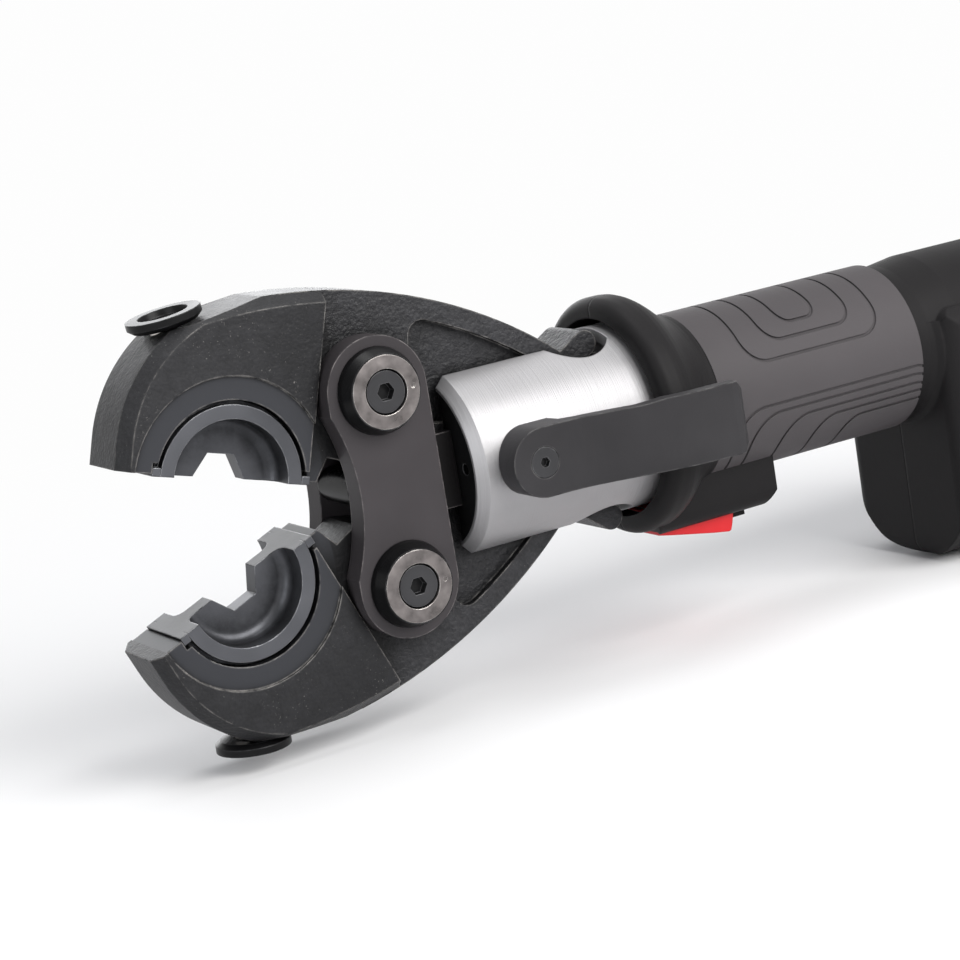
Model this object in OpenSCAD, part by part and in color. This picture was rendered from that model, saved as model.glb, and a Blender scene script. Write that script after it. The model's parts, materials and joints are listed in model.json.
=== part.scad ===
// Battery hydraulic crimping tool with an open scissor-jaw head.
// Frame: X runs rearward along the tool axis, Z is up, and the origin is on the axis at the grip's centre.

/* [Jaw head] */
// Distance between the two jaw pins
pin_spread = 61; // [60:0.25:62]
// Diameter of a jaw pin
pin_d = 14; // [12:0.5:15]
// How far the upper jaw stands open from closed, in degrees
upper_open = 16.5; // [16:0.25:19]
// How far the lower jaw stands open from closed, in degrees
lower_open = 22.5; // [19:0.25:23]
// Thickness of a jaw's front block
jaw_t = 28.6; // [27.6:0.2:30]
// Thickness of a jaw's hub and tail
hub_t = 20; // [18.5:0.25:20.5]
// Distance from the pins forward to the nose
nose_ahead = 79.5; // [78:0.5:82]
// Radius from a pin to the tip of the jaw's tail
tail_reach = 84; // [82:0.25:85]
// Thickness of a link plate
plate_t = 8.6; // [7.5:0.2:9.4]
// Height of the collar round each pin end
pin_collar_h = 6; // [5:0.25:7]

/* [Dies] */
// Distance from the pins forward to the die centre
die_ahead = 43; // [42:0.25:44]
// Diameter of the die's seat in the jaw
die_seat_d = 49; // [47:0.25:50]
// Width across the flats of the hexagonal nest
hex_across = 15; // [8:0.5:18]
// Diameter of the die release knob
knob_d = 23.5; // [21:0.5:24.5]
// How far the die release knob pulls out
knob_travel = 3; // [2:0.25:3.5]

/* [Ram] */
// Stroke of the ram
stroke = 28; // [26:0.5:29]
// Diameter of a roller
roller_d = 16; // [15:0.25:16.5]
// Width of a roller
roller_w = 12; // [10:0.5:13]
// Diameter of the piston rod
rod_d = 18; // [15:0.5:19]
// Diameter of the cylinder bore
cyl_bore_d = 34; // [32:0.5:36]

/* [Fork housing and hook] */
// Outer diameter of the bright fork housing
fork_d = 61; // [60.5:0.25:62.5]
// Length of the fork housing in front of the handle collar
fork_show = 65; // [64:0.5:67]
// Distance from the fork housing's front forward to the pins
pin_ahead = 24; // [23:0.5:26]
// Width of the belt hook
hook_w = 22; // [19:0.5:24]
// Thickness of the belt hook's arm
hook_t = 4.6; // [4:0.2:5.2]

/* [Handle] */
// Diameter over the rubber grip
grip_d = 57; // [56:0.25:58.5]
// Length of the rubber grip
grip_len = 82; // [79:0.5:85]
// Thickness of the rubber grip
grip_t = 2.5; // [2:0.1:3]
// Diameter of the collar round the fork housing
collar_d = 79; // [77:0.5:80]
// Length of the collar
collar_len = 27; // [26:0.5:29]
// Diameter of the rear motor housing
rear_d = 57; // [56:0.25:59]
// Length from the grip's end to the housing's rear end
rear_len = 118; // [116:0.5:124]
// Width of the lower housing
foot_w = 65; // [64.5:0.5:70]
// Width of the trigger housing
guard_w = 32; // [28:0.5:34]
// Width of the trigger
trigger_w = 22; // [18:0.5:23]
// Travel of the release button
release_travel = 3; // [2:0.25:3.5]

/* [Battery] */
// Width of the battery
battery_w = 62; // [58:0.5:64]
// Depth of the battery below its seat
battery_h = 44; // [42:0.5:48]

/* [Hidden] */
$fn = 72;
// Radial clearance of a pin or shaft that turns
run_clear = 0.05;
// Radial clearance of a pressed or screwed fit
fit_clear = 0.02;
// Clearance between flat faces that slide past each other
slide_clear = 0.4;
// Clearance between curved faces of different bodies
cam_clear = 0.3;

// Handle, from the grip's centre outwards
grip_x0 = -grip_len / 2;
grip_x1 = grip_len / 2;
grip_r = grip_d / 2;
core_r = grip_r - grip_t;
collar_x = grip_x0 - collar_len;
collar_r = collar_d / 2;
rear_x = grip_x1 + rear_len;
rear_r = rear_d / 2;

// Head
pin_x = collar_x - fork_show - pin_ahead;
pin_z = pin_spread / 2;
pin_r = pin_d / 2;
jaw_half = jaw_t / 2;
hub_half = hub_t / 2;
hub_r = 19.5;
plate_in = hub_half + slide_clear;
plate_out = plate_in + plate_t;
collar_out = plate_out + pin_collar_h;
tongue_t = 4;
tongue_half_z = 12;
plate_end_r = 17;
plate_waist = 5.5;
step_ahead = plate_end_r + 0.6;

// Jaw outline, relative to its pin with the jaw closed
mate_z = -pin_z;
jaw_face_z = mate_z + 1;
die_face_z = mate_z + 0.15;
nose_r = 48;
nose_c = [nose_r - nose_ahead, mate_z + 9.2];
crest_r = 167.2;
crest_c = [2.7, 30 - crest_r];
heel_ahead = 13.5;
bevel_w = 3.4;
bevel_t = 4.6;
die_seat_r = die_seat_d / 2;
die_r = die_seat_r - 0.2;
die_half = jaw_half - 1.3;
spot_r = die_seat_r + 7.2;
spot_depth = 1;

// Ram and rollers
roller_r = roller_d / 2;
roller_z = roller_r + 0.2;
roller_half = roller_w / 2;
roller_pin_r = 3.5;
roller_x = pin_x + 72;
fork_plate_out = hub_half - 0.2;
ram_base_x0 = roller_x + roller_r + 1.5;
ram_base_x1 = ram_base_x0 + 5;
rod_r = rod_d / 2;
cyl_bore_r = cyl_bore_d / 2;

// Fork housing and hydraulic cylinder
fork_r = fork_d / 2;
fork_bore_r = 26.5;
fork_x0 = pin_x + pin_ahead;
slot_x1 = collar_x - 2;
slot_half = hub_half + 0.6;
fork_x1 = collar_x + 13;
fork_chamfer = 3;
cyl_r = cyl_bore_r + 5;
cyl_x0 = slot_x1 + 1.5;
gland_x1 = cyl_x0 + 9.5;
piston_len = 12;
spring_min = 13.5;
piston_x0 = gland_x1 + stroke + spring_min;
cyl_x1 = piston_x0 + piston_len + 0.4;
cyl_back_x = cyl_x1 + 6;
spigot_r = 9;
spigot_x1 = cyl_back_x + 16;
swivel_pin_x = cyl_back_x + 11;
swivel_pin_r = 2;
swivel_pin_l = 24;
swivel_seal_x = cyl_back_x + 5;
cheek_x0 = fork_x0 + 0.6;
cheek_x1 = cheek_x0 + 28;

// Drive, behind the swivel
washer_t = 1;
pump_x0 = cyl_back_x + washer_t;
pump_x1 = pump_x0 + 33;
pump_r = cyl_r + 0.5;
shell_bore_r = pump_r + 0.1;
ecc_x0 = pump_x0 + 23;
ecc_x1 = ecc_x0 + 7;
ecc_throw = 1.5;
ecc_r = 6;
ecc_ring_r = 9;
gear_x0 = pump_x1 + 3;
gear_x1 = gear_x0 + 28;
gear_shaft_l = 4;
motor_x1 = rear_x - 8;
drive_r = rear_r - 6.2;
drive_bore_r = drive_r + 0.2;

// Lower housing
shell_t = 3;
foot_half = foot_w / 2;
foot_top_z = 12;
foot_front = grip_x1 + 8;
foot_edge = 7;
lobe_r = foot_half - 0.5;
front_wall = 4;
board_room = 10;
bay_x0 = foot_front + front_wall + board_room + shell_t;
seat_z = -32.5;
rail_z0 = -29;
rail_z1 = -25.6;
rail_half = 20;
neck_half = 16;
battery_half = battery_w / 2;
battery_x0 = bay_x0 + 0.6;
battery_x1 = rear_x - 1;
battery_z0 = seat_z - slide_clear - battery_h;

// Trigger group
guard_half = guard_w / 2;
guard_x0 = collar_x + 3;
guard_x1 = grip_x0 + 25;
guard_z0 = -40;
guard_z1 = -24;
guard_edge = 6;
trigger_half = trigger_w / 2;
trigger_x0 = guard_x0 + 4;
trigger_x1 = trigger_x0 + 30;
trigger_pin_x = trigger_x0 + 3;
trigger_pin_z = -35;
trigger_pin_r = 2;
release_x0 = trigger_x1 + 3;
release_x1 = release_x0 + 5;
release_half = 5;

// Belt hook
hook_set = 18;
hook_x = fork_x0 + hook_set;
hook_end_r = hook_w / 2;
hook_front_y = fork_r + 9.5;
hook_gap = 7.2;
hook_in_y = collar_r + hook_gap;
hook_out_y = hook_in_y + hook_t;
hook_tail_gap = 5;
hook_tail_x = grip_x0 - hook_tail_gap;

// Shared shapes

// An outline in X and Z, extruded across the tool, centred on the middle plane
module side(w) rotate([90, 0, 0]) linear_extrude(w, center = true) children();

// The same, between two Y places
module side_span(y0, y1) translate([0, y1, 0]) rotate([90, 0, 0]) linear_extrude(y1 - y0) children();

// An outline of radius and X, turned about the tool axis
module turned() rotate([0, 90, 0]) rotate_extrude() children();

// A round bar along X
module bar_x(r, x0, x1) translate([x0, 0, 0]) rotate([0, 90, 0]) cylinder(r = r, h = x1 - x0);

// A tube along X
module tube_x(r_out, r_in, x0, x1) {
    difference() {
        bar_x(r_out, x0, x1);
        bar_x(r_in, x0 - 1, x1 + 1);
    }
}

// A round bar along Y at a place in X and Z
module bar_y(x, z, r, y0, y1) translate([x, y1, z]) rotate([90, 0, 0]) cylinder(r = r, h = y1 - y0);

// A box between two corners
module block(a, b) translate(a) cube(b - a);

// A disc across the tool whose two rims are bevelled
module bevelled_disc(c, r, half, w, t) {
    translate([c[0], 0, c[1]]) rotate([90, 0, 0]) {
        cylinder(r = r, h = 2 * (half - t), center = true);
        for (m = [0, 1])
            mirror([0, 0, m]) translate([0, 0, half - t]) cylinder(r1 = r, r2 = r - w, h = t);
    }
}

// The middle of a jaw pin, above or below the axis
module at_pin(up) translate([pin_x, 0, up * pin_z]) children();

// A jaw's frame: its pin at the origin, turned open as in the rest pose
module on_jaw(up) mirror([0, 0, up > 0 ? 0 : 1]) translate([pin_x, 0, pin_z])
    rotate([0, up > 0 ? upper_open : lower_open, 0]) children();

// The die release knob's axis, measured outwards from the die's centre
module on_knob() translate([-die_ahead, 0, mate_z]) rotate([0, -knob_lean, 0]) children();

// Jaw cam

// A point turned anticlockwise in X and Z
function turn2(p, a) = [p[0] * cos(a) - p[1] * sin(a), p[0] * sin(a) + p[1] * cos(a)];

// The roller's centre in the closed jaw's frame after the ram has moved forward by s
function cam_path(s, open) =
    turn2([roller_x - s - pin_x, roller_z - pin_z], open * (1 - s / stroke));

// Unit step of that path as the ram moves forward
function cam_step(s, open) =
    let (d = cam_path(s + 0.05, open) - cam_path(s - 0.05, open)) d / norm(d);

// Unit normal of the path, towards the tail
function cam_normal(s, open) = let (d = cam_step(s, open)) [d[1], -d[0]];

// The tail's running face: the path set off by the roller's radius
function cam_point(s, open) = cam_path(s, open) + cam_normal(s, open) * (roller_r + cam_clear);

// Round tip of the tail, and the least thickness of the tail along its running face
tip_r = 4.2;
tail_wall = 9;

// Jaws

module crest_circle(inset = 0) translate(crest_c) circle(r = crest_r - inset, $fn = 200);

// Two corners of the web under the hub, where the spring stands
web_under = [hub_r * 0.6, -hub_r * 0.78];
web_neck = [hub_r * 1.44, mate_z + 10];

// Hub and tail seen from the side. The round tip stays on the running face's line,
// and its far side is at tail_reach.
module jaw_web_outline(open) {
    cam_steps = 14;
    run = [for (i = [0:cam_steps]) (stroke + 1) * (1 - i / cam_steps)];
    face = [for (s = run) cam_point(s, open)];
    back = [for (i = [cam_steps:-1:0]) face[i] + cam_normal(run[i], open) * tail_wall];
    side_n = cam_normal(0, open);
    start = face[cam_steps] + side_n * tip_r;
    dir = -cam_step(0, open);
    b = start * dir;
    tip = start + dir * (sqrt(b * b - start * start + pow(tail_reach - tip_r, 2)) - b);
    intersection() {
        crest_circle();
        union() {
            circle(r = hub_r);
            polygon(concat(
                [[nose_c[0], jaw_face_z], [-heel_ahead, jaw_face_z],
                 [-hub_r * 0.54, -hub_r * 1.12], [-hub_r * 0.1, -hub_r * 1.18], web_under, web_neck],
                face,
                [[face[cam_steps][0], 40], [nose_c[0], 40]]));
        }
    }
    polygon(concat(face, back));
    translate(tip) circle(r = tip_r);
    polygon([tip - side_n * tip_r, tip + side_n * tip_r, start - dir * 6 + side_n * tip_r,
        start - dir * 6, start - side_n * tip_r]);
}

// Front block with its bevelled outer edge
module jaw_front() {
    nose_z = nose_c[1];
    intersection() {
        block([-nose_ahead - 1, -jaw_half, jaw_face_z], [-step_ahead, jaw_half, 40]);
        union() {
            bevelled_disc(nose_c, nose_r, jaw_half, bevel_w, bevel_t);
            block([nose_c[0], -jaw_half, jaw_face_z], [0, jaw_half, 40]);
            translate([0, 0, jaw_face_z]) linear_extrude(nose_z - jaw_face_z) polygon([
                [nose_c[0], -jaw_half], [bevel_w - nose_ahead, -jaw_half],
                [-nose_ahead, bevel_t - jaw_half], [-nose_ahead, jaw_half - bevel_t],
                [bevel_w - nose_ahead, jaw_half], [nose_c[0], jaw_half]]);
        }
        bevelled_disc(crest_c, crest_r, jaw_half, bevel_w, bevel_t, $fn = 200);
    }
}

// Sunk panel in the tail's side, inside a rib along the crest, with a round front corner
rib_w = 6.5;
panel_x0 = 13.5;
panel_r = 5;
panel_c = [panel_x0 + panel_r,
    crest_c[1] + sqrt(pow(crest_r - rib_w - panel_r, 2) - pow(panel_x0 + panel_r - crest_c[0], 2))];

module tail_panel() {
    translate(panel_c) circle(r = panel_r);
    intersection() {
        crest_circle(rib_w);
        polygon([[24, -9], [15, 4], [panel_x0, panel_c[1]], panel_c, [panel_c[0], 30], [64, 30], [63, 9],
            [40, -8]]);
    }
}

// Knob stations along its axis, from the die's centre
knob_lean = 24;
knob_stem_r = 3;
knob_tip = die_r - 2.5;
knob_hole_r = 5.5;
knob_flat = 48.5;
flat_run = 30;
knob_bush_t = 3.5;
knob_bore_l = 15;
knob_flange_t = 1.6;
knob_disc_t = 3.6;
knob_wall = 3.4;
knob_wall_base = 4.4;

module jaw_solid(open) {
    panel_depth = 2.8;
    key_w = 2.6;
    difference() {
        union() {
            side(hub_t) jaw_web_outline(open);
            jaw_front();
        }
        // die seat, the turned band round it and the two key slots
        bar_y(-die_ahead, mate_z, die_seat_r, -jaw_t, jaw_t);
        for (m = [-1, 1]) {
            bar_y(-die_ahead, mate_z, spot_r, m > 0 ? jaw_half - spot_depth : -jaw_t,
                m > 0 ? jaw_t : spot_depth - jaw_half);
            block([-die_ahead + m * die_seat_r - key_w / 2 - 0.2, -jaw_t, mate_z],
                [-die_ahead + m * die_seat_r + key_w / 2 + 0.2, jaw_t, mate_z + 4.2]);
            translate([0, m * hub_half, 0]) side(2 * panel_depth) tail_panel();
        }
        bar_y(0, 0, pin_r + run_clear, -jaw_t, jaw_t);
        on_knob() {
            cylinder(r = knob_stem_r + run_clear, h = knob_flat + 10);
            translate([0, 0, knob_flat - knob_bore_l]) cylinder(r = knob_hole_r, h = 30);
            translate([-flat_run, -jaw_t, knob_flat]) cube([2 * flat_run, 2 * jaw_t, 30]);
        }
    }
}

// Half die: a turned ring with a thin web, cut at the parting face by half a hexagon
module die_solid() {
    web_half = 3.3;
    ring_in = die_r - 5.6;
    fillet = 3.6;
    rim = 1.2;
    rib_half = die_half - 3;
    key_w = 2.6;
    difference() {
        union() {
            intersection() {
                translate([-die_ahead, 0, mate_z]) rotate([90, 0, 0]) rotate_extrude() {
                    difference() {
                        union() {
                            translate([0, -die_half]) square([die_r - rim, 2 * die_half]);
                            translate([0, -rib_half]) square([die_r, 2 * rib_half]);
                        }
                        for (m = [0, 1]) mirror([0, m]) {
                            translate([-1, web_half]) square([ring_in - fillet + 1, die_half]);
                            translate([0, web_half + fillet]) square([ring_in, die_half]);
                            translate([ring_in - fillet, web_half + fillet]) circle(r = fillet);
                        }
                    }
                }
                block([-100, -die_half, die_face_z], [0, die_half, 10]);
            }
            // keys at the two ends
            for (m = [-1, 1])
                block([-die_ahead + m * die_seat_r - key_w / 2, -die_half, die_face_z],
                    [-die_ahead + m * die_seat_r + key_w / 2, die_half, die_face_z + 2.6]);
        }
        translate([-die_ahead, 0, mate_z]) rotate([90, 0, 0])
            cylinder(d = hex_across / cos(30), h = 4 * web_half, center = true, $fn = 6);
        on_knob() translate([0, 0, knob_tip - 0.3]) cylinder(r = knob_stem_r + run_clear, h = 10);
    }
}

module knob_bush_solid() on_knob() translate([0, 0, knob_flat - knob_bush_t]) difference() {
    cylinder(r = knob_hole_r - fit_clear, h = knob_bush_t);
    translate([0, 0, -1]) cylinder(r = knob_stem_r + run_clear, h = knob_bush_t + 2);
}

module knob_spring_solid() on_knob() {
    z0 = knob_flat - knob_bore_l + 0.3 + knob_flange_t;
    translate([0, 0, z0]) difference() {
        cylinder(r = knob_hole_r - 0.4, h = knob_flat - knob_bush_t - z0);
        translate([0, 0, -1]) cylinder(r = knob_stem_r + 0.4, h = 30);
    }
}

// Dished pull knob on a stem that reaches into the die's back
module knob_solid() on_knob() difference() {
    disc_z = knob_flat + 0.5;
    union() {
        translate([0, 0, knob_tip]) cylinder(r = knob_stem_r, h = disc_z - knob_tip + 1);
        translate([0, 0, knob_flat - knob_bore_l + 0.3]) cylinder(r = knob_hole_r - 0.3, h = knob_flange_t);
        translate([0, 0, disc_z]) cylinder(r1 = knob_d / 2 - 1.6, r2 = knob_d / 2, h = 1.4);
        translate([0, 0, disc_z + 1.4]) cylinder(r = knob_d / 2, h = knob_disc_t - 1.4);
    }
    translate([0, 0, disc_z + 1.6])
        cylinder(r1 = knob_d / 2 - knob_wall_base, r2 = knob_d / 2 - knob_wall, h = knob_disc_t);
}

module upper_jaw() color([0.22, 0.22, 0.23]) on_jaw(1) jaw_solid(upper_open);
module lower_jaw() color([0.22, 0.22, 0.23]) on_jaw(-1) jaw_solid(lower_open);
module upper_die() color([0.38, 0.39, 0.41]) on_jaw(1) die_solid();
module lower_die() color([0.38, 0.39, 0.41]) on_jaw(-1) die_solid();
module upper_knob_bush() color([0.45, 0.45, 0.47]) on_jaw(1) knob_bush_solid();
module lower_knob_bush() color([0.45, 0.45, 0.47]) on_jaw(-1) knob_bush_solid();
module upper_knob_spring() color([0.6, 0.6, 0.62]) on_jaw(1) knob_spring_solid();
module lower_knob_spring() color([0.6, 0.6, 0.62]) on_jaw(-1) knob_spring_solid();
module upper_die_knob() color([0.12, 0.12, 0.13]) on_jaw(1) knob_solid();
module lower_die_knob() color([0.12, 0.12, 0.13]) on_jaw(-1) knob_solid();

// Round stop between the link plates, just ahead of the spring

stop_r = 5.6;
stop_x = pin_x - 6;
stop_spigot_r = 4;
stop_spigot_l = 4;

module jaw_stop() color([0.14, 0.14, 0.15]) {
    bar_y(stop_x, 0, stop_r, -plate_in, plate_in);
    bar_y(stop_x, 0, stop_spigot_r, -plate_in - stop_spigot_l, plate_in + stop_spigot_l);
}

// Spring between the two jaw hubs: a coil of round wire standing on end

spring_x = pin_x + 5;
spring_turns = 6;
spring_wire = 1.6;
spring_coil_r = 3.1;
spring_reach = spring_x - pin_x + spring_coil_r + spring_wire / 2;

// Room from the axis to a jaw's web over the spring, with the jaw open by this angle
function web_room(open) = let (a = turn2(web_under, -open), b = turn2(web_neck, -open))
    pin_z + a[1] + (b[1] - a[1]) / (b[0] - a[0]) * (spring_reach - a[0]) - 0.3;

spring_top = web_room(upper_open) - spring_wire / 2;
spring_low = web_room(lower_open) - spring_wire / 2;
spring_rise = spring_top + spring_low;
spring_steps = 8;
spring_sides = 6;

function coil_at(i) = let (a = 360 * i / spring_steps, n = spring_turns * spring_steps)
    [spring_coil_r * cos(a), spring_coil_r * sin(a), spring_rise * i / n - spring_low];

function coil_ring(i) = let (
    a = 360 * i / spring_steps,
    rise = spring_rise / (spring_turns * 2 * PI * spring_coil_r),
    across = [cos(a), sin(a), 0],
    up = [sin(a) * rise, -cos(a) * rise, 1] / sqrt(1 + rise * rise))
    [for (k = [0:spring_sides - 1]) coil_at(i)
        + (across * cos(360 * k / spring_sides) + up * sin(360 * k / spring_sides)) * spring_wire / 2];

module coil_spring() {
    n = spring_turns * spring_steps;
    s = spring_sides;
    rings = [for (i = [0:n]) each coil_ring(i)];
    walls = [for (i = [0:n - 1], k = [0:s - 1]) let (a = i * s + k, b = i * s + (k + 1) % s)
        each [[a, b + s, b], [a, a + s, b + s]]];
    ends = [for (k = [1:s - 2]) each [[0, k, k + 1], [n * s, n * s + k + 1, n * s + k]]];
    polyhedron(rings, concat(walls, ends));
}

// Least gap between neighbouring turns, measured on the coil's own points
coil_gap = min([for (i = [0:spring_steps - 1]) norm(coil_at(i + spring_steps) - coil_at(i))]) - spring_wire;
echo(coil_gap = coil_gap);

module jaw_spring() color([0.75, 0.75, 0.77]) translate([spring_x, 0, 0]) coil_spring();

// Link plates, pins and what holds them

module plate_outline() difference() {
    union() {
        for (m = [-1, 1]) translate([pin_x, m * pin_z]) circle(r = plate_end_r);
        translate([pin_x - plate_end_r, -pin_z]) square([2 * plate_end_r, 2 * pin_z]);
    }
    waist_r = 62;
    translate([pin_x - plate_end_r + plate_waist - waist_r, 0]) circle(r = waist_r, $fn = 120);
}

module link_plate() difference() {
    union() {
        side_span(-plate_out, -plate_in) plate_outline();
        block([pin_x, -plate_in - tongue_t, -tongue_half_z], [cheek_x1 - 2, -plate_in, tongue_half_z]);
    }
    for (m = [-1, 1]) bar_y(pin_x, m * pin_z, pin_r + fit_clear, -60, 60);
    for (x = dowel_spots) bar_y(x, 0, dowel_r + fit_clear, -60, 60);
    bar_y(stop_x, 0, stop_spigot_r + fit_clear, -plate_in - stop_spigot_l, 0);
}

dowel_r = 2.5;
dowel_reach = 6;
dowel_spots = [hook_x - 8, hook_x + 5];

// Half-moon block that fills the fork housing's cheek and holds the plate's tongue
module cheek_block() difference() {
    intersection() {
        bar_x(fork_bore_r - fit_clear, cheek_x0, cheek_x1);
        block([-400, -60, -60], [0, -plate_in, 60]);
    }
    block([-400, -plate_in - tongue_t - 0.05, -tongue_half_z - 0.05],
        [cheek_x1 - 1.95, 0, tongue_half_z + 0.05]);
    for (x = dowel_spots)
        bar_y(x, 0, dowel_r + fit_clear, -plate_in - tongue_t - dowel_reach, 0);
    translate([0, -grub_y, 0]) bar_x(grub_r + fit_clear, cheek_x0 - 1, cheek_x0 + grub_depth);
    bar_y(hook_x, 0, hook_screw_r + fit_clear, -60, -fork_bore_r + hook_screw_bite);
}

grub_r = 1.8;
grub_y = 20.5;
grub_depth = dowel_spots[0] - dowel_r - 0.5 - cheek_x0;

module cheek_grub_screws() color([0.2, 0.2, 0.21]) for (m = [-1, 1]) difference() {
    translate([0, m * grub_y, 0]) bar_x(grub_r, cheek_x0 + 2, cheek_x0 + grub_depth);
    translate([cheek_x0 + 1, m * grub_y, 0]) rotate([0, 90, 0]) cylinder(r = 0.9, h = 3, $fn = 6);
}

module cheek_dowels() color([0.6, 0.6, 0.62]) for (m = [-1, 1], x = dowel_spots)
    bar_y(x, 0, dowel_r, min(m * (plate_in + 0.2), m * (plate_in + tongue_t + dowel_reach)),
        max(m * (plate_in + 0.2), m * (plate_in + tongue_t + dowel_reach)));

module left_link_plate() color([0.28, 0.28, 0.3]) link_plate();
module right_link_plate() color([0.28, 0.28, 0.3]) mirror([0, 1, 0]) link_plate();
module left_cheek_block() color([0.2, 0.2, 0.21]) cheek_block();
module right_cheek_block() color([0.2, 0.2, 0.21]) mirror([0, 1, 0]) cheek_block();

pin_thread_r = 3;
pin_screw_head_r = 6.5;
pin_screw_head_t = 3.4;
pin_screw_l = 14;
ring_out_r = 11.7;
ring_t = 1;

module pivot_pin(up) difference() {
    bar_y(pin_x, up * pin_z, pin_r, -plate_out, plate_out);
    for (m = [-1, 1]) bar_y(pin_x, up * pin_z, pin_thread_r + fit_clear,
        m > 0 ? plate_out - pin_screw_l : -60, m > 0 ? 60 : pin_screw_l - plate_out);
}

module upper_pivot_pin() color([0.55, 0.55, 0.57]) pivot_pin(1);
module lower_pivot_pin() color([0.55, 0.55, 0.57]) pivot_pin(-1);

// Does the same at all four pin ends, outwards along Y from the plate's face
module each_pin_end() for (up = [-1, 1], m = [0, 1]) at_pin(up) mirror([0, m, 0])
    translate([0, -plate_out, 0]) rotate([90, 0, 0]) children();

module pin_collars() color([0.12, 0.12, 0.13]) each_pin_end() difference() {
    union() {
        cylinder(r1 = ring_out_r + 2, r2 = ring_out_r + 1.6, h = 2);
        translate([0, 0, 2]) cylinder(r1 = ring_out_r + 1.6, r2 = ring_out_r, h = pin_collar_h - 2);
    }
    translate([0, 0, pin_collar_h - ring_t]) cylinder(r = ring_out_r - 0.3, h = 5);
    translate([0, 0, pin_collar_h - ring_t - pin_screw_head_t]) cylinder(r = pin_screw_head_r + 0.6, h = 9);
    translate([0, 0, -1]) cylinder(r = pin_thread_r + 0.1, h = 9);
}

module pin_rings() color([0.68, 0.66, 0.65]) each_pin_end() translate([0, 0, pin_collar_h - ring_t])
    difference() {
        cylinder(r = ring_out_r - 0.35, h = ring_t);
        translate([0, 0, -1]) cylinder(r = pin_screw_head_r + 0.6, h = 4);
        translate([ring_out_r - 2.6, 0, ring_t - 0.4]) cylinder(r = 0.7, h = 1);
    }

module pin_screws() color([0.16, 0.16, 0.17]) each_pin_end() difference() {
    head_z = pin_collar_h - ring_t - pin_screw_head_t;
    union() {
        translate([0, 0, head_z]) cylinder(r = pin_screw_head_r, h = pin_screw_head_t + ring_t - 0.5);
        translate([0, 0, 1 - pin_screw_l]) cylinder(r = pin_thread_r, h = head_z + pin_screw_l);
    }
    translate([0, 0, head_z + 1]) cylinder(r = 3, h = 9, $fn = 6);
}

// Fork housing: bright turned sleeve, slotted top and bottom for the tails

scallop_r = 13;
scallop_x = slot_x1 - 11;
scallop_y = slot_half + 7.6 - scallop_r;

module fork_housing() color([0.8, 0.8, 0.82]) difference() {
    turned() polygon([[fork_bore_r, fork_x0], [fork_r - fork_chamfer, fork_x0],
        [fork_r, fork_x0 + fork_chamfer], [fork_r, fork_x1 - 1], [fork_r - 1, fork_x1],
        [cyl_r + fit_clear, fork_x1], [cyl_r + fit_clear, cyl_x0], [fork_bore_r, cyl_x0]]);
    block([fork_x0 - 1, -slot_half, -60], [slot_x1, slot_half, 60]);
    for (m = [-1, 1]) translate([scallop_x, m * scallop_y, 0]) intersection() {
        cylinder(r = scallop_r, h = 2 * fork_d, center = true);
        block([-30, -30, -60], [slot_x1 - scallop_x, 30, 60]);
    }
    bar_y(hook_x, 0, hook_screw_r + fit_clear, -60, 0);
}

// Belt hook: a bar screwed to the fork housing's side that runs back past the collar

hook_screw_r = 2.5;
hook_head_r = 4.8;
hook_head_t = 3;
hook_screw_bite = 8;

hook_bend_x0 = hook_x + 6;
hook_bend_x1 = collar_x + 4;
hook_steps = 16;

// The hook's outer face seen from above: a smooth bend from the screw end out past the collar
function hook_face(i) = let (t = i / hook_steps)
    [hook_bend_x0 + (hook_bend_x1 - hook_bend_x0) * t,
     hook_front_y + (hook_out_y - hook_front_y) * (1 - cos(180 * t)) / 2];

module hook_plan() {
    boss_x1 = hook_x + hook_end_r - 2;
    outer = [for (i = [0:hook_steps]) [hook_face(i)[0], -hook_face(i)[1]]];
    inner = [for (i = [hook_steps:-1:0]) if (hook_face(i)[0] > boss_x1 + 3)
        [hook_face(i)[0], hook_t - hook_face(i)[1]]];
    polygon(concat([[hook_x - hook_end_r, 3 - fork_r], [hook_x - hook_end_r, -hook_front_y]], outer,
        [[hook_tail_x - 5, -hook_out_y], [hook_tail_x - 2.4, 0.6 - hook_out_y],
         [hook_tail_x - 0.7, 1.8 - hook_out_y], [hook_tail_x, 3.4 - hook_out_y],
         [hook_tail_x, -hook_in_y], [hook_tail_x - 3, -hook_in_y]], inner,
        [[boss_x1 + 1, hook_t + 1 - hook_front_y], [boss_x1, 3 - fork_r]]));
}

module hook_side() {
    lip = 3;
    translate([hook_x, 0]) circle(r = hook_end_r);
    polygon([[hook_x, hook_end_r], [hook_x, -hook_end_r], [collar_x - 6, -hook_end_r],
        [hook_tail_x - lip, -hook_end_r - 0.6], [hook_tail_x, -hook_end_r + lip],
        [hook_tail_x, hook_end_r - lip], [hook_tail_x - lip, hook_end_r + 0.6],
        [collar_x - 6, hook_end_r + 0.8], [collar_x - 14, hook_end_r]]);
}

module belt_hook() color([0.27, 0.27, 0.28]) difference() {
    intersection() {
        translate([0, 0, -60]) linear_extrude(120) hook_plan();
        side_span(-80, 0) hook_side();
    }
    bar_x(fork_r + 0.05, fork_x0, fork_x1);
    bar_y(hook_x, 0, hook_screw_r + fit_clear, -80, 0);
    bar_y(hook_x, 0, hook_head_r + 0.15, -80, -hook_front_y + hook_head_t);
}

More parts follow.
